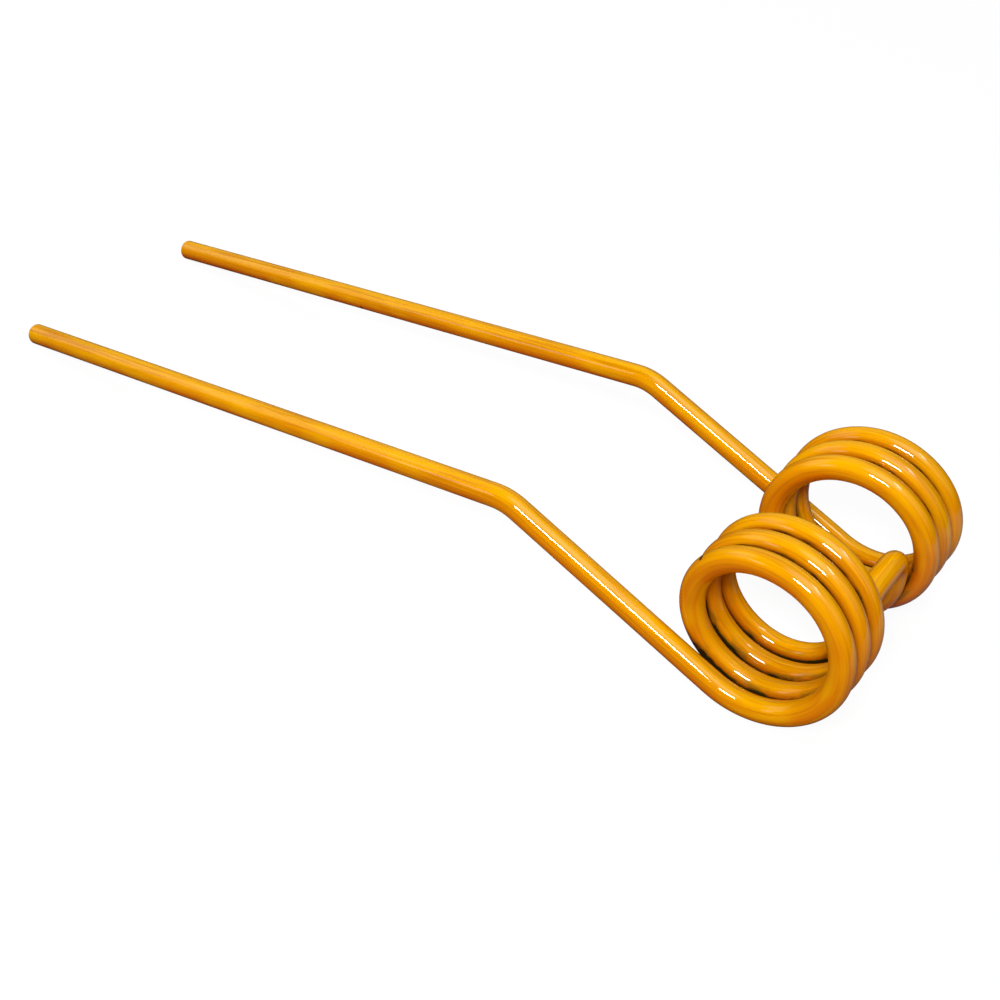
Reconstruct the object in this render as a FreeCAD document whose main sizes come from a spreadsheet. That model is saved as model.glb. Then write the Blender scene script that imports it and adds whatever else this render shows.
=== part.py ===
# Tedder tine: a double torsion spring of round steel wire.
# Two coils sit side by side on one axis and are joined by a short bridge, which a clamp holds
# on the rotor arm. Each coil's outer turn runs out into a straight arm that is kinked once.
#
# Frame: the tine lies on a flat surface, on the bottoms of its coils and the tip of its longer
# arm. +Z is up, the coil axis runs along Y, and the arms reach out towards -X. The origin is
# the bottom centre of the box around the whole tine.

import FreeCAD
import Part
import math
import os

doc = FreeCAD.newDocument("TedderTine")

# Driving sizes, in millimetres and degrees
SIZES = {
    "wire_diameter": "9.0",
    "coil_inner_diameter": "48.5",
    "turn_gap": "1.7",
    "full_turns": "3",
    "lead_in_radius": "23.5",
    "lead_in_angle": "113",
    "lead_in_straight": "2.8",
    "bridge_bend_radius": "8.5",
    "bridge_straight": "14.0",
    "root_bend_radius": "60",
    "root_length": "97.5",
    "kink_angle": "30",
    "kink_radius": "21",
    "short_arm_length": "261.5",
    "long_arm_length": "265.5",
    "tip_chamfer": "1.0",
}
sheet = doc.addObject("Spreadsheet::Sheet", "Sizes")
for row, (alias, value) in enumerate(SIZES.items(), start=1):
    sheet.set(f"A{row}", alias)
    sheet.set(f"B{row}", value)
    sheet.setAlias(f"B{row}", alias)
doc.recompute()


def size(alias):
    return float(sheet.get(alias))


# Expressions that more than one piece of the wire shares
WIRE_RADIUS = "Sizes.wire_diameter / 2"
COIL_RADIUS = "(Sizes.coil_inner_diameter + Sizes.wire_diameter) / 2"
PITCH = "(Sizes.wire_diameter + Sizes.turn_gap)"
LEAD_ANGLE = f"atan({PITCH} / (8 * {COIL_RADIUS}))"
BRIDGE_TURN = f"acos(sin({LEAD_ANGLE}) * cos(Sizes.lead_in_angle * 1 deg))"
KINK_TANGENT = "Sizes.kink_radius * tan(Sizes.kink_angle * 1 deg / 2)"
ROOT_BEND_REACH = f"Sizes.root_bend_radius * sin({LEAD_ANGLE})"

# The same values as numbers, for the placements along the wire
wire_radius = size("wire_diameter") / 2
coil_radius = (size("coil_inner_diameter") + size("wire_diameter")) / 2
pitch = size("wire_diameter") + size("turn_gap")
quarter_turns = round(4 * size("full_turns"))
lead_in_angle = math.radians(size("lead_in_angle"))
kink_angle = math.radians(size("kink_angle"))
kink_tangent = size("kink_radius") * math.tan(kink_angle / 2)

# The coil climbs in quarter turns. Each is one arc in its own tilted plane, from one point of
# the helix to the next, and at this lead angle every arc starts just as the last one ends.
lead_angle = math.atan(pitch / (8 * coil_radius))
bridge_turn = math.acos(math.sin(lead_angle) * math.cos(lead_in_angle))
quarter_chord = math.sqrt(2 * coil_radius ** 2 + (pitch / 4) ** 2)
quarter_reach = math.cos(lead_angle) * coil_radius + math.sin(lead_angle) * pitch / 4
half_quarter = math.acos(quarter_reach / quarter_chord)
quarter_radius = quarter_chord / (2 * math.sin(half_quarter))
QUARTER_CHORD = f"sqrt(2 * ({COIL_RADIUS}) ^ 2 + ({PITCH} / 4) ^ 2)"
QUARTER_REACH = f"(cos({LEAD_ANGLE}) * {COIL_RADIUS} + sin({LEAD_ANGLE}) * {PITCH} / 4)"
HALF_QUARTER = f"acos({QUARTER_REACH} / {QUARTER_CHORD})"

AXIS = FreeCAD.Vector(0, 1, 0)
DOWN = FreeCAD.Vector(0, 0, -1)
OUTWARD = FreeCAD.Vector(-1, 0, 0)


def frame(x_axis, y_axis, z_axis, base):
    matrix = FreeCAD.Matrix()
    matrix.A11, matrix.A21, matrix.A31 = x_axis
    matrix.A12, matrix.A22, matrix.A32 = y_axis
    matrix.A13, matrix.A23, matrix.A33 = z_axis
    matrix.A14, matrix.A24, matrix.A34 = base
    return FreeCAD.Placement(matrix)


def straight(name, start, direction, length):
    piece = doc.addObject("Part::Cylinder", name)
    piece.setExpression("Radius", WIRE_RADIUS)
    piece.setExpression("Height", length)
    piece.Placement = FreeCAD.Placement(start, FreeCAD.Rotation(FreeCAD.Vector(0, 0, 1), direction))
    return piece


def bend(name, start, tangent, normal, radius, radius_expression, angle_expression):
    # The bend starts along the tangent and turns towards the normal
    piece = doc.addObject("Part::Torus", name)
    piece.setExpression("Radius1", radius_expression)
    piece.setExpression("Radius2", WIRE_RADIUS)
    piece.setExpression("Angle3", angle_expression)
    piece.Placement = frame(normal * -1, tangent, tangent.cross(normal), start + normal * radius)
    return piece


def after_bend(start, tangent, normal, radius, angle):
    end = start + tangent * (radius * math.sin(angle)) + normal * (radius * (1 - math.cos(angle)))
    end_tangent = tangent * math.cos(angle) + normal * math.sin(angle)
    return end, end_tangent


def square_to(direction, tangent):
    # The part of a direction that is square to the wire, as a unit vector
    normal = direction - tangent * direction.dot(tangent)
    normal.normalize()
    return normal


def coil_point(turned, side, root_y):
    across = coil_radius * math.sin(turned)
    climb = pitch * turned / (2 * math.pi)
    return FreeCAD.Vector(across, root_y - side * climb, -coil_radius * math.cos(turned))


def coil_tangent(turned, side):
    around = FreeCAD.Vector(math.cos(turned), 0, math.sin(turned))
    return around * math.cos(lead_angle) - AXIS * (side * math.sin(lead_angle))


def coil(label, side, root_y):
    # Quarter turns from the root of the arm inwards; the later ones copy the first one's sizes
    pieces = []
    for quarter in range(quarter_turns):
        turned = quarter * math.pi / 2
        start = coil_point(turned, side, root_y)
        chord = coil_point(turned + math.pi / 2, side, root_y) - start
        tangent = coil_tangent(turned, side)
        first = quarter == 0
        radius = f"{QUARTER_CHORD} / (2 * sin({HALF_QUARTER}))" if first else f"{label}Quarter1.Radius1"
        angle = f"2 * {HALF_QUARTER}" if first else f"{label}Quarter1.Angle3"
        pieces.append(bend(f"{label}Quarter{quarter + 1}", start, tangent, square_to(chord, tangent),
                           quarter_radius, radius, angle))
    return pieces


def inner_path(side, root_y):
    # The wire tightens, leaves the turns, and bends towards the middle and into the bridge.
    # Each stretch is given by its start and its directions, and the last point is the bridge's end.
    turned = quarter_turns * math.pi / 2
    start = coil_point(turned, side, root_y)
    tangent = coil_tangent(turned, side)
    to_axis = FreeCAD.Vector(-math.sin(turned), 0, math.cos(turned))
    arc_end, leaving = after_bend(start, tangent, to_axis, size("lead_in_radius"), lead_in_angle)
    bend_start = arc_end + leaving * size("lead_in_straight")
    to_bridge = square_to(AXIS * -side, leaving)
    bridge_end, _ = after_bend(bend_start, leaving, to_bridge, size("bridge_bend_radius"), bridge_turn)
    return (start, tangent, to_axis), (arc_end, leaving), (bend_start, leaving, to_bridge), bridge_end


def inner_end(label, side, root_y):
    lead_in, lead_in_straight, bridge_bend, _ = inner_path(side, root_y)
    return [
        bend(f"{label}LeadIn", *lead_in, size("lead_in_radius"),
             "Sizes.lead_in_radius", "Sizes.lead_in_angle"),
        straight(f"{label}LeadInStraight", *lead_in_straight, "Sizes.lead_in_straight"),
        bend(f"{label}BridgeBend", *bridge_bend, size("bridge_bend_radius"),
             "Sizes.bridge_bend_radius", BRIDGE_TURN),
    ]


def arm(label, side, root_y, arm_length_alias):
    # A slight bend takes the coil's lead angle out of the wire, then come the root run, the kink
    # and the outer run with its chamfered tip
    root = coil_point(0, side, root_y)
    leaving = coil_tangent(0, side) * -1
    square = square_to(OUTWARD, leaving)
    arm_start, _ = after_bend(root, leaving, square, size("root_bend_radius"), lead_angle)
    corner = FreeCAD.Vector(-size("root_length"), arm_start.y, -coil_radius)
    kink_start = corner - OUTWARD * kink_tangent
    kink_end, outer_direction = after_bend(kink_start, OUTWARD, DOWN, size("kink_radius"), kink_angle)
    tip_end = corner + outer_direction * size(arm_length_alias)
    tip = doc.addObject("Part::Cone", f"{label}Tip")
    tip.setExpression("Radius1", WIRE_RADIUS)
    tip.setExpression("Radius2", f"{WIRE_RADIUS} - Sizes.tip_chamfer")
    tip.setExpression("Height", "Sizes.tip_chamfer")
    tip.Placement = FreeCAD.Placement(tip_end - outer_direction * size("tip_chamfer"),
                                      FreeCAD.Rotation(FreeCAD.Vector(0, 0, 1), outer_direction))
    pieces = [
        bend(f"{label}RootBend", root, leaving, square, size("root_bend_radius"),
             "Sizes.root_bend_radius", LEAD_ANGLE),
        straight(f"{label}RootRun", arm_start, OUTWARD,
                 f"Sizes.root_length - {ROOT_BEND_REACH} - {KINK_TANGENT}"),
        bend(f"{label}Kink", kink_start, OUTWARD, DOWN, size("kink_radius"),
             "Sizes.kink_radius", "Sizes.kink_angle"),
        straight(f"{label}OuterRun", kink_end, outer_direction,
                 f"Sizes.{arm_length_alias} - {KINK_TANGENT} - Sizes.tip_chamfer"),
        tip,
    ]
    return pieces, tip_end, outer_direction


# The wire, from tip to tip. Side -1 is the coil towards -Y, with the shorter arm.
*_, bridge_end = inner_path(1, 0)
bridge_half = size("bridge_straight") / 2
bridge_start = FreeCAD.Vector(bridge_end.x, -bridge_half, bridge_end.z)
root_y = bridge_half - bridge_end.y
pieces = [straight("Bridge", bridge_start, AXIS, "Sizes.bridge_straight")]
tips = []
for label, side, arm_length_alias in (("Near", -1, "short_arm_length"), ("Far", 1, "long_arm_length")):
    pieces += coil(label, side, side * root_y)
    pieces += inner_end(label, side, side * root_y)
    arm_pieces, tip_end, outer_direction = arm(label, side, side * root_y, arm_length_alias)
    pieces += arm_pieces
    tips.append(tip_end)

tine = doc.addObject("Part::MultiFuse", "Tine")
tine.Shapes = pieces
tine.Label = "tine"

# Lay the tine on its coils and on the lower rim of the longer arm's tip
coil_outer_radius = coil_radius + wire_radius
tip_end = min(tips, key=lambda point: point.x)
rim_up = FreeCAD.Vector(outer_direction.z, 0, -outer_direction.x)
rim_base = tip_end - outer_direction * size("tip_chamfer")
rim = rim_base - rim_up * wire_radius
lie_angle = math.atan2(-rim.z, -rim.x) - math.asin(coil_outer_radius / math.hypot(rim.x, rim.z))
lie = FreeCAD.Rotation(AXIS, math.degrees(lie_angle))
tip_face = wire_radius - size("tip_chamfer")
reach = [tip_end + rim_up * tip_face, tip_end - rim_up * tip_face, rim_base + rim_up * wire_radius, rim]
low_x = min(lie.multVec(point).x for point in reach)
middle_x = -(coil_outer_radius + low_x) / 2
tine.Placement = FreeCAD.Placement(FreeCAD.Vector(middle_x, 0, coil_outer_radius), lie)
doc.recompute()

# Checks before anything is written
for obj in doc.Objects:
    if "Invalid" in obj.State or "Error" in obj.State:
        raise RuntimeError(f"{obj.Label} failed: {obj.State}")
if tine.Shape.isNull() or not tine.Shape.isValid():
    raise RuntimeError("the tine's shape is not valid")
if len(tine.Shape.Solids) != 1:
    raise RuntimeError(f"the wire is in {len(tine.Shape.Solids)} solids")

os.makedirs("parts", exist_ok=True)
tine.Shape.exportStep("parts/tine.step")
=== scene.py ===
# The looks of the tedder tine: one glossy painted spring wire on a pale floor.
# Lengths are in metres, and angles in radians unless math.radians turns them.

import math

import bpy
import numpy as np
from mathutils import Matrix, Vector
from mathutils.kdtree import KDTree


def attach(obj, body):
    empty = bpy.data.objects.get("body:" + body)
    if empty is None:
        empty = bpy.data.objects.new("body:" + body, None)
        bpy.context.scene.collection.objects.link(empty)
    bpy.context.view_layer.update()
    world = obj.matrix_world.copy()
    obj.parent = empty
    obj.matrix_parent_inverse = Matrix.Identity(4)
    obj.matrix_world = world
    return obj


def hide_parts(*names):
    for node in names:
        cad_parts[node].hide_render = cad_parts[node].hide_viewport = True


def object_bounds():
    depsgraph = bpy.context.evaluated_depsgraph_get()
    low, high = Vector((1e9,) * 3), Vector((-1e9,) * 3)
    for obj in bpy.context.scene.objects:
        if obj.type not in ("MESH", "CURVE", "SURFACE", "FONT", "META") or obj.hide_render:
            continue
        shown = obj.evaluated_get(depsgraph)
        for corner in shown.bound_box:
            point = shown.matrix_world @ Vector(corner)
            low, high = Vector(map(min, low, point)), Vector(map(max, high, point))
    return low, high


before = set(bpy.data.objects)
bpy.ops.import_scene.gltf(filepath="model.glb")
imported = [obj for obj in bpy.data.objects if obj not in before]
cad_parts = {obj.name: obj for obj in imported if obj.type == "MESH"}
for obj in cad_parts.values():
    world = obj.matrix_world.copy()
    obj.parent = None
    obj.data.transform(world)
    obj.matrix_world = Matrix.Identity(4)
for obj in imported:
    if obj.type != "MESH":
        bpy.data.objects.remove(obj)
cad_box = [list(corner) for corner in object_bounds()]

# The wire's sizes
WIRE_RADIUS = 0.0045
COIL_RADIUS = 0.02875
PITCH = 0.0107
FULL_TURNS = 3
LEAD_IN_RADIUS = 0.0235
LEAD_IN_ANGLE = math.radians(113)
LEAD_IN_STRAIGHT = 0.0028
BRIDGE_BEND_RADIUS = 0.0085
BRIDGE_STRAIGHT = 0.014
ROOT_BEND_RADIUS = 0.060
ROOT_LENGTH = 0.0975
KINK_ANGLE = math.radians(30)
KINK_RADIUS = 0.021
SHORT_ARM_LENGTH = 0.2615
LONG_ARM_LENGTH = 0.2655
TIP_ROUNDING = 0.0010

# How finely it is meshed
SIDES = 48
STEP_ON_BENDS = 0.0012
STEP_ON_STRAIGHTS = 0.004
ROUNDING_STEPS = 5

AXIS = Vector((0, 1, 0))
DOWN = Vector((0, 0, -1))
OUTWARD = Vector((-1, 0, 0))
LEAD_ANGLE = math.atan(PITCH / (8 * COIL_RADIUS))
KINK_TANGENT = KINK_RADIUS * math.tan(KINK_ANGLE / 2)


class Line:
    """The wire's centreline, walked piece by piece: its points and the way it heads at the last."""

    def __init__(self, start, heading):
        self.points = [start]
        self.heading = heading

    def run(self, length):
        start = self.points[-1]
        steps = max(1, round(length / STEP_ON_STRAIGHTS))
        self.points += [start + self.heading * (length * step / steps) for step in range(1, steps + 1)]

    def bend(self, towards, radius, angle):
        start, heading = self.points[-1], self.heading
        aside = (towards - heading * towards.dot(heading)).normalized()
        steps = max(2, round(radius * angle / STEP_ON_BENDS))
        for step in range(1, steps + 1):
            turned = angle * step / steps
            arc = heading * math.sin(turned) + aside * (1 - math.cos(turned))
            self.points.append(start + arc * radius)
        self.heading = heading * math.cos(angle) + aside * math.sin(angle)


def coil_point(turned, side, root_y):
    climb = PITCH * turned / (2 * math.pi)
    return Vector((COIL_RADIUS * math.sin(turned), root_y - side * climb, -COIL_RADIUS * math.cos(turned)))


def coil_heading(turned, side):
    around = Vector((math.cos(turned), 0, math.sin(turned)))
    return around * math.cos(LEAD_ANGLE) - AXIS * (side * math.sin(LEAD_ANGLE))


def inner_line(side, root_y):
    """From the arm's root through the turns, the tightening lead-in and the bend, to the bridge."""
    quarter = math.pi / 2
    chord_length = (coil_point(quarter, side, 0) - coil_point(0, side, 0)).length
    half_arc = math.acos((math.cos(LEAD_ANGLE) * COIL_RADIUS + math.sin(LEAD_ANGLE) * PITCH / 4) / chord_length)
    line = Line(coil_point(0, side, root_y), coil_heading(0, side))
    for turned in np.arange(4 * FULL_TURNS) * quarter:
        chord = coil_point(turned + quarter, side, root_y) - line.points[-1]
        line.heading = coil_heading(turned, side)
        line.bend(chord, chord_length / (2 * math.sin(half_arc)), 2 * half_arc)
    end = 2 * math.pi * FULL_TURNS
    line.heading = coil_heading(end, side)
    line.bend(Vector((-math.sin(end), 0, math.cos(end))), LEAD_IN_RADIUS, LEAD_IN_ANGLE)
    line.run(LEAD_IN_STRAIGHT)
    line.bend(AXIS * -side, BRIDGE_BEND_RADIUS, line.heading.angle(AXIS * -side))
    return line.points


def arm_line(side, root_y, arm_length):
    """From the arm's root through the kink to the tip."""
    line = Line(coil_point(0, side, root_y), coil_heading(0, side) * -1)
    line.bend(OUTWARD, ROOT_BEND_RADIUS, LEAD_ANGLE)
    line.run(ROOT_LENGTH + line.points[-1].x - KINK_TANGENT)
    line.bend(DOWN, KINK_RADIUS, KINK_ANGLE)
    line.run(arm_length - KINK_TANGENT)
    return line.points


def half_wire(side, arm_length):
    """The points from one arm's tip to that side's end of the bridge."""
    root_y = side * BRIDGE_STRAIGHT / 2 - inner_line(side, 0)[-1].y
    return arm_line(side, root_y, arm_length)[::-1] + inner_line(side, root_y)[1:]


def laid_down(points):
    """Turns the wire about its coils until the longer arm's tip meets the floor, and sets it in the frame."""
    rise = COIL_RADIUS + WIRE_RADIUS
    heading = OUTWARD * math.cos(KINK_ANGLE) + DOWN * math.sin(KINK_ANGLE)
    tip = min(points, key=lambda point: point.x)
    rim = tip - heading * TIP_ROUNDING + heading.cross(AXIS) * WIRE_RADIUS
    lie_angle = math.atan2(-rim.z, -rim.x) - math.asin(rise / math.hypot(rim.x, rim.z))
    lie = Matrix.Rotation(lie_angle, 3, "Y")
    middle = Vector((cad_box[1][0] - rise, 0, rise))
    return [middle + lie @ point for point in points]


def wire_points():
    near = half_wire(-1, SHORT_ARM_LENGTH)
    far = half_wire(1, LONG_ARM_LENGTH)
    return np.array(laid_down(near + far[::-1]))


def without_twist(points):
    """Headings along the wire, and two directions square to it that never turn about it."""
    ahead = np.gradient(points, axis=0)
    ahead /= np.linalg.norm(ahead, axis=1)[:, None]
    first = np.cross(ahead[0], AXIS)
    sideways = [first / np.linalg.norm(first)]
    for heading in ahead[1:]:
        carried = sideways[-1] - heading * (sideways[-1] @ heading)
        sideways.append(carried / np.linalg.norm(carried))
    sideways = np.array(sideways)
    return ahead, sideways, np.cross(ahead, sideways)


def rounded_tips(points, ahead):
    """The rings' centres and radii, the point that each belongs to and its distance along the wire."""
    rounding = np.linspace(0, math.pi / 2, ROUNDING_STEPS + 1)
    back = TIP_ROUNDING * (1 - np.sin(rounding))
    narrowed = WIRE_RADIUS - TIP_ROUNDING * (1 - np.cos(rounding))
    centres = np.vstack([points[0] + ahead[0] * back[::-1, None], points[1:-1], points[-1] - ahead[-1] * back[:, None]])
    radii = np.concatenate([narrowed[::-1], np.full(len(points) - 2, WIRE_RADIUS), narrowed])
    last = len(points) - 1
    source = np.concatenate([np.zeros(len(back), int), np.arange(1, last), np.full(len(back), last)])
    steps = np.linalg.norm(np.diff(centres, axis=0), axis=1)
    return centres, radii, source, np.concatenate([[0], np.cumsum(steps)])


def neighbour_gaps(vertices, own_distance, centres, distance):
    """How far each point of the surface is from another strand of the wire."""
    tree = KDTree(len(centres))
    for index, centre in enumerate(centres):
        tree.insert(centre, index)
    tree.balance()
    reach = 3 * WIRE_RADIUS
    gaps = np.full(len(vertices), reach)
    for index, vertex in enumerate(vertices):
        for _, other, apart in tree.find_range(vertex, reach):
            if abs(distance[other] - own_distance[index]) > 6 * WIRE_RADIUS:
                gaps[index] = min(gaps[index], apart - WIRE_RADIUS)
    return np.maximum(gaps, 0)


def build_wire():
    points = wire_points()
    ahead, sideways, upright = without_twist(points)
    centres, radii, source, distance = rounded_tips(points, ahead)
    around = np.linspace(0, 2 * math.pi, SIDES, endpoint=False)
    round_x, round_y = np.cos(around)[None, :, None], np.sin(around)[None, :, None]
    spokes = round_x * sideways[source][:, None] + round_y * upright[source][:, None]
    rings = centres[:, None] + spokes * radii[:, None, None]
    vertices = np.vstack([rings.reshape(-1, 3), centres[:1], centres[-1:]])

    last_ring = (len(centres) - 1) * SIDES
    faces = []
    for spoke in range(SIDES):
        beside = (spoke + 1) % SIDES
        for ring in range(0, last_ring, SIDES):
            faces.append((ring + spoke, ring + beside, ring + SIDES + beside, ring + SIDES + spoke))
        faces.append((len(vertices) - 2, beside, spoke))
        faces.append((len(vertices) - 1, last_ring + spoke, last_ring + beside))
    mesh = bpy.data.meshes.new("painted_wire")
    mesh.from_pydata(vertices.tolist(), [], faces)
    mesh.shade_smooth()

    # Where each point lies on the straightened wire, for the paint's grain
    straightened = np.empty((len(centres), SIDES, 3))
    straightened[..., 0] = distance[:, None]
    straightened[..., 1] = np.cos(around) * radii[:, None]
    straightened[..., 2] = np.sin(around) * radii[:, None]
    straightened = np.vstack([straightened.reshape(-1, 3), [(0, 0, 0), (distance[-1], 0, 0)]])
    mesh.attributes.new("straightened", "FLOAT_VECTOR", "POINT").data.foreach_set("vector", straightened.ravel())
    # How far each point faces up, for the painted shade on the undersides
    facing_up = np.concatenate([spokes[..., 2].ravel(), [0, 0]])
    mesh.attributes.new("facing_up", "FLOAT", "POINT").data.foreach_set("value", facing_up)
    # How far each point lies from another strand, for the painted shade in the grooves
    gaps = neighbour_gaps(vertices, straightened[:, 0], centres, distance)
    mesh.attributes.new("gap", "FLOAT", "POINT").data.foreach_set("value", gaps)

    wire = bpy.data.objects.new("painted_wire", mesh)
    bpy.context.scene.collection.objects.link(wire)
    return wire


# The paint: an orange lacquer brushed along the wire by the drawing lines under it, with painted shade on its
# undersides, in its hollows and along its grooves
PAINT_ABOVE = (0.81, 0.382, 0.0, 1)
PAINT_BELOW_SHADED = (0.72, 0.130, 0.0, 1)
HOLLOW_SHADE_PAINT = (0.42, 0.045, 0.0, 1)
GROOVE_SHADE_PAINT = (0.34, 0.085, 0.0, 1)
PAINT_DEEPER = (0.52, 0.150, 0.0, 1)
PAINT_PALER = (0.90, 0.450, 0.0, 1)
LOW_GROOVE_OLIVE = (0.075, 0.080, 0.006, 1)
GROOVE_SHADOW_LINE = (0.014, 0.012, 0.002, 1)
CHIPPED = (0.020, 0.012, 0.004, 1)
CHIPS = (((0.1384, -0.0424, 0.0520), 0.0011), ((-0.0821, 0.0447, 0.0191), 0.0009))


class Nodes:
    """A short way to lay out a material's nodes."""

    def __init__(self, tree):
        self.tree = tree
        self.tree.nodes.clear()

    def add(self, kind, inputs=None, **settings):
        made = self.tree.nodes.new(kind)
        for name, value in settings.items():
            setattr(made, name, value)
        for socket, value in (inputs or {}).items():
            if isinstance(value, bpy.types.NodeSocket):
                self.tree.links.new(value, made.inputs[socket])
            else:
                made.inputs[socket].default_value = value
        return made

    def grain(self, straightened, along, around, detail, seed=0.0):
        """Noise drawn out along the wire: features this many metres long and wide."""
        stretched = self.add("ShaderNodeVectorMath", {0: straightened, 1: (1 / along, 1 / around, 1 / around)},
                             operation="MULTIPLY")
        moved = self.add("ShaderNodeVectorMath", {0: stretched.outputs[0], 1: (seed, seed, seed)})
        noise = self.add("ShaderNodeTexNoise", {"Vector": moved.outputs[0], "Scale": 1.0, "Detail": detail})
        return noise.outputs["Fac"]

    def between(self, value, low, high, to_low=0.0, to_high=1.0):
        ranged = self.add("ShaderNodeMapRange", {"Value": value, "From Min": low, "From Max": high,
                                                 "To Min": to_low, "To Max": to_high})
        return ranged.outputs["Result"]

    def mixed(self, factor, first, second):
        mix = self.add("ShaderNodeMix", {0: factor, 6: first, 7: second}, data_type="RGBA")
        return mix.outputs[2]

    def times(self, first, second):
        return self.add("ShaderNodeMath", {0: first, 1: second}, operation="MULTIPLY").outputs[0]

    def plus(self, first, second):
        return self.add("ShaderNodeMath", {0: first, 1: second}).outputs[0]


def paint_material():
    material = bpy.data.materials.new("orange_lacquer")
    material.use_nodes = True
    nodes = Nodes(material.node_tree)
    straightened = nodes.add("ShaderNodeAttribute", attribute_name="straightened").outputs["Vector"]
    gap = nodes.add("ShaderNodeAttribute", attribute_name="gap").outputs["Fac"]

    place = nodes.add("ShaderNodeNewGeometry").outputs["Position"]

    broad = nodes.grain(straightened, along=0.070, around=0.0030, detail=2)
    fine = nodes.grain(straightened, along=0.030, around=0.0009, detail=2, seed=7)
    cloud = nodes.grain(straightened, along=0.020, around=0.0080, detail=1, seed=13)

    thin = nodes.between(nodes.plus(nodes.times(broad, 0.4), nodes.times(fine, 0.6)), 0.48, 0.62)
    thick = nodes.between(nodes.plus(nodes.times(broad, 0.5), nodes.times(cloud, 0.5)), 0.50, 0.38)
    facing_up = nodes.add("ShaderNodeAttribute", attribute_name="facing_up").outputs["Fac"]
    # Painted shade: the paint turns darker and redder towards the undersides
    colour = nodes.mixed(nodes.between(facing_up, -0.45, 1.0), PAINT_BELOW_SHADED, PAINT_ABOVE)
    colour = nodes.mixed(nodes.times(thin, 0.6), colour, PAINT_DEEPER)
    colour = nodes.mixed(nodes.times(thick, 0.45), colour, PAINT_PALER)

    # Painted shade: the paint darkens and reddens where ambient occlusion finds hollows, as inside the coils
    openness = nodes.add("ShaderNodeAmbientOcclusion", {"Distance": 0.04}, samples=8).outputs["AO"]
    colour = nodes.mixed(nodes.between(openness, 0.62, 0.22, 0.0, 0.8), colour, HOLLOW_SHADE_PAINT)
    # Painted shade: darker, redder paint where another strand lies close
    colour = nodes.mixed(nodes.between(gap, 0.0034, 0.0019, 0.0, 0.6), colour, GROOVE_SHADE_PAINT)
    crumbs = nodes.grain(straightened, along=0.0090, around=0.0028, detail=4, seed=29)
    # Darker olive patches in the narrow grooves, only low down on the wire
    low_down = nodes.between(nodes.add("ShaderNodeSeparateXYZ", {0: place}).outputs["Z"], 0.036, 0.024)
    low_groove_patches = nodes.times(nodes.between(gap, 0.0046, 0.0022), nodes.between(crumbs, 0.47, 0.60))
    colour = nodes.mixed(nodes.times(nodes.times(low_groove_patches, low_down), 0.6), colour, LOW_GROOVE_OLIVE)
    # Painted shadow: a near-black line in the grooves where the strands come closest
    shadow_edge_gap = nodes.between(crumbs, 0.45, 0.75, 0.0019, 0.0024)
    dark_line_shadow = nodes.between(nodes.add("ShaderNodeMath", {0: gap, 1: shadow_edge_gap}, operation="SUBTRACT").outputs[0],
                         0.0002, -0.0002)
    colour = nodes.mixed(nodes.times(dark_line_shadow, 0.95), colour, GROOVE_SHADOW_LINE)

    for centre, size in CHIPS:
        apart = nodes.add("ShaderNodeVectorMath", {0: place, 1: centre}, operation="DISTANCE").outputs["Value"]
        chip = nodes.between(nodes.plus(apart, nodes.times(crumbs, 0.0008)), size + 0.0006, size)
        colour = nodes.mixed(nodes.times(chip, 0.9), colour, CHIPPED)

    height = nodes.plus(nodes.times(fine, 0.5), nodes.times(broad, 0.5))
    bump = nodes.add("ShaderNodeBump", {"Height": height, "Strength": 0.10, "Distance": 0.0002})
    orange_peel = nodes.add("ShaderNodeBump", {"Height": nodes.grain(straightened, 0.0030, 0.0022, 1, seed=21),
                                               "Strength": 0.006, "Distance": 0.0002})
    roughness = nodes.between(fine, 0.3, 0.7, 0.34, 0.46)
    shader = nodes.add("ShaderNodeBsdfPrincipled", {
        "Base Color": colour,
        "Roughness": roughness,
        "Specular IOR Level": 0.0,
        "Coat Weight": 1.0,
        "Coat Roughness": 0.06,
        "Coat IOR": 1.5,
        "Normal": bump.outputs["Normal"],
        "Coat Normal": orange_peel.outputs["Normal"],
    })
    nodes.add("ShaderNodeOutputMaterial", {"Surface": shader.outputs["BSDF"]})
    return material


# The studio: a pale floor, and panels that light the paint or are mirrored in its gloss
FLOOR_SIZE = 12.0
FLOOR_SHADE = 0.08
FLOOR_SHADE_IN_BOUNCES = 0.28
FLOOR_SHADE_IN_GLOSS = 0.03
FLOOR_GLOW_NEAR = 0.93
FLOOR_GLOW_FAR = 1.0
FLOOR_SHEEN_CENTRE = (0.34, 0.08, 0)
FLOOR_SHEEN_REACH = 0.20
FLOOR_SHEEN = 0.6
FILL_LIGHT = 0.09
DARK_IN_GLOSS = 0.02
SOFT_CARDS = ((-10, 75, 8, 28, 2.0), (5, 45, 5, 40, 0.45), (-172, 33, 6, 20, 0.9), (-148, 26, 4, 12, 0.6), (-131, 27, 2, 9, 2.2),
              (115, 30, 20, 55, 0.2))
LIT_POINT = Vector((0.165, 0.0, 0.04))


def towards(azimuth, elevation):
    azimuth, elevation = math.radians(azimuth), math.radians(elevation)
    return Vector((math.cos(azimuth) * math.cos(elevation), math.sin(azimuth) * math.cos(elevation),
                   math.sin(elevation)))


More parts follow.
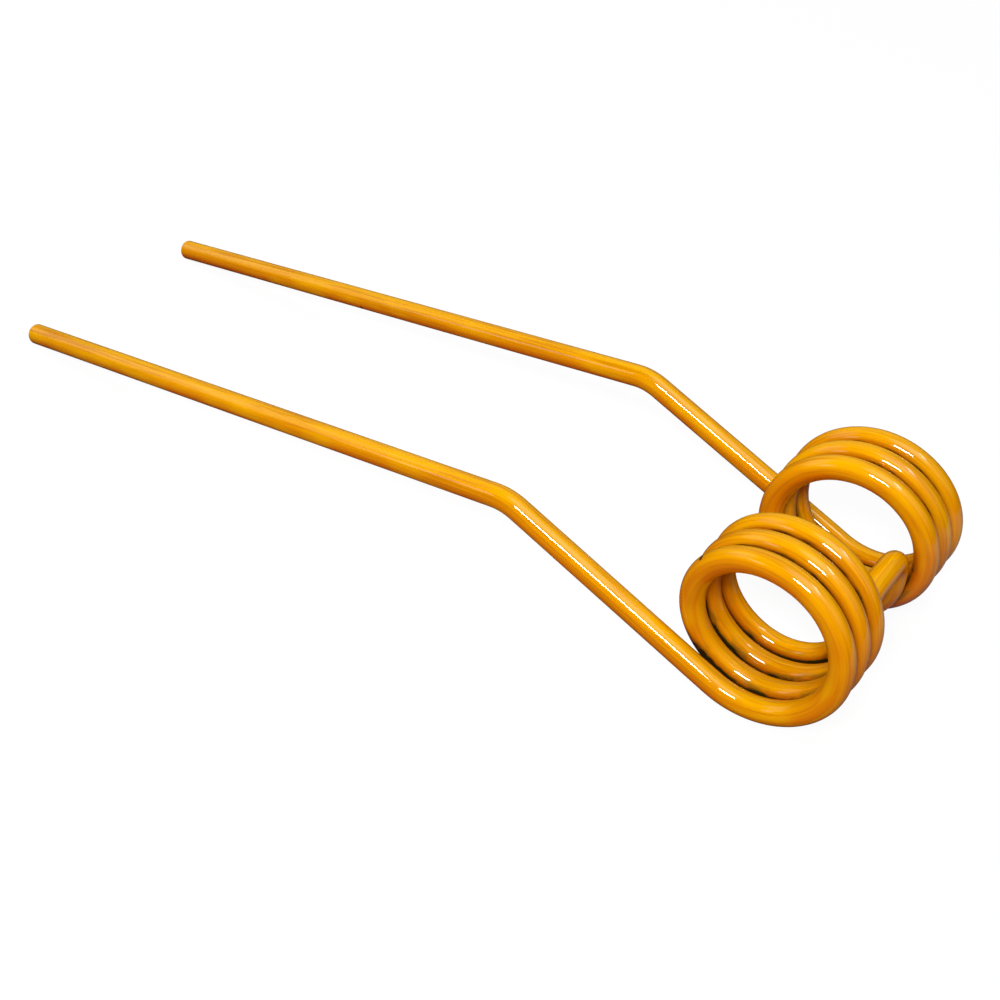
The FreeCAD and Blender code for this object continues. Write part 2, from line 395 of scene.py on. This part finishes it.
def floor_material():
    """Pale, and lifted to white for the camera with the object's shadow kept."""
    material = bpy.data.materials.new("pale_floor")
    material.use_nodes = True
    nodes = Nodes(material.node_tree)
    path = nodes.add("ShaderNodeLightPath")
    seen = path.outputs["Is Camera Ray"]
    place = nodes.add("ShaderNodeNewGeometry").outputs["Position"]
    in_gloss = path.outputs["Is Glossy Ray"]
    apart = nodes.add("ShaderNodeVectorMath", {0: place, 1: FLOOR_SHEEN_CENTRE}, operation="DISTANCE").outputs["Value"]
    sheen = nodes.between(apart, FLOOR_SHEEN_REACH, 0.0, 0.0, FLOOR_SHEEN)
    away = nodes.add("ShaderNodeVectorMath", {0: place}, operation="LENGTH").outputs["Value"]
    glow_seen = nodes.between(away, 0.6, 2.0, FLOOR_GLOW_NEAR, FLOOR_GLOW_FAR)
    strength = nodes.plus(nodes.times(seen, glow_seen), nodes.times(in_gloss, sheen))
    shade = nodes.between(in_gloss, 0, 1, nodes.between(seen, 0, 1, FLOOR_SHADE_IN_BOUNCES, FLOOR_SHADE),
                          FLOOR_SHADE_IN_GLOSS)
    matt = nodes.add("ShaderNodeBsdfDiffuse", {"Color": shade})
    glow = nodes.add("ShaderNodeEmission", {"Strength": strength})
    both = nodes.add("ShaderNodeAddShader", {0: matt.outputs[0], 1: glow.outputs[0]})
    nodes.add("ShaderNodeOutputMaterial", {"Surface": both.outputs[0]})
    return material


def build_floor():
    bpy.ops.mesh.primitive_plane_add(size=FLOOR_SIZE, location=(0, 0, cad_box[0][2]))
    floor = bpy.context.object
    floor.name = "floor"
    floor.data.materials.append(floor_material())


def light_room():
    """White behind the object for the camera, an even fill for the paint, and soft cards in its gloss."""
    world = bpy.data.worlds.new("studio")
    bpy.context.scene.world = world
    world.use_nodes = True
    nodes = Nodes(world.node_tree)
    path = nodes.add("ShaderNodeLightPath")
    direction = nodes.add("ShaderNodeTexCoord").outputs["Generated"]
    cards = DARK_IN_GLOSS
    for azimuth, elevation, inner, outer, brightness in SOFT_CARDS:
        facing = nodes.add("ShaderNodeVectorMath", {0: direction, 1: towards(azimuth, elevation)},
                           operation="DOT_PRODUCT")
        edge, core = math.cos(math.radians(outer)), math.cos(math.radians(inner))
        cards = nodes.plus(cards, nodes.between(facing.outputs["Value"], edge, core, 0.0, brightness))
    lit = nodes.add("ShaderNodeMix", {0: path.outputs["Is Glossy Ray"], 2: FILL_LIGHT, 3: cards}).outputs[0]
    strength = nodes.add("ShaderNodeMix", {0: path.outputs["Is Camera Ray"], 2: lit, 3: 1.0}).outputs[0]
    background = nodes.add("ShaderNodeBackground", {"Color": (1, 1, 1, 1), "Strength": strength})
    nodes.add("ShaderNodeOutputWorld", {"Surface": background.outputs[0]})


def add_panel(name, azimuth, elevation, distance, width, height, brightness, turn=0.0, lights=True, mirrored=True):
    """A soft light panel that faces the coils. Its brightness is how bright the panel itself is."""
    lamp = bpy.data.lights.new(name, "AREA")
    lamp.shape = "RECTANGLE"
    lamp.size, lamp.size_y = width, height
    lamp.energy = 4 * brightness * width * height
    panel = bpy.data.objects.new(name, lamp)
    bpy.context.scene.collection.objects.link(panel)
    panel.visible_camera = False
    panel.visible_diffuse = lights
    panel.visible_glossy = mirrored
    away = towards(azimuth, elevation)
    facing = away.to_track_quat("Z", "Y").to_matrix() @ Matrix.Rotation(math.radians(turn), 3, "Z")
    panel.matrix_world = Matrix.Translation(LIT_POINT + away * distance) @ facing.to_4x4()


# The camera, at the photograph's angle
CAMERA_PLACE = Vector((0.27788, -0.37280, 0.36154))
CAMERA_AZIMUTH = math.radians(33.728)
CAMERA_ELEVATION = math.radians(39.450)
CAMERA_ROLL = math.radians(3.368)
FOCAL_PIXELS = 1416.3
PICTURE_PIXELS = 1000


def add_camera():
    camera = bpy.data.objects.new("camera", bpy.data.cameras.new("camera"))
    bpy.context.scene.collection.objects.link(camera)
    camera.data.sensor_width = 36
    camera.data.lens = camera.data.sensor_width * FOCAL_PIXELS / PICTURE_PIXELS
    camera.data.clip_start = 0.01
    aim = (Matrix.Rotation(CAMERA_AZIMUTH, 3, "Z") @ Matrix.Rotation(math.pi / 2 - CAMERA_ELEVATION, 3, "X")
           @ Matrix.Rotation(CAMERA_ROLL, 3, "Z"))
    camera.matrix_world = Matrix.Translation(CAMERA_PLACE) @ aim.to_4x4()
    bpy.context.scene.camera = camera


wire = build_wire()
wire.data.materials.append(paint_material())
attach(wire, "root")
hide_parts("tine")

build_floor()
light_room()
add_panel("overhead", azimuth=180, elevation=84, distance=1.6, width=1.6, height=1.6, brightness=1.25, mirrored=False)
add_panel("side", azimuth=165, elevation=25, distance=1.5, width=1.0, height=0.6, brightness=2.0, mirrored=False)
add_panel("key", azimuth=-77.5, elevation=47, distance=1.4, width=0.46, height=0.23, brightness=42, turn=-16)
add_panel("second_shine", azimuth=25, elevation=60, distance=1.4, width=0.50, height=0.18, brightness=5.5, lights=False)
add_camera()
bpy.context.scene.view_settings.view_transform = "Standard"
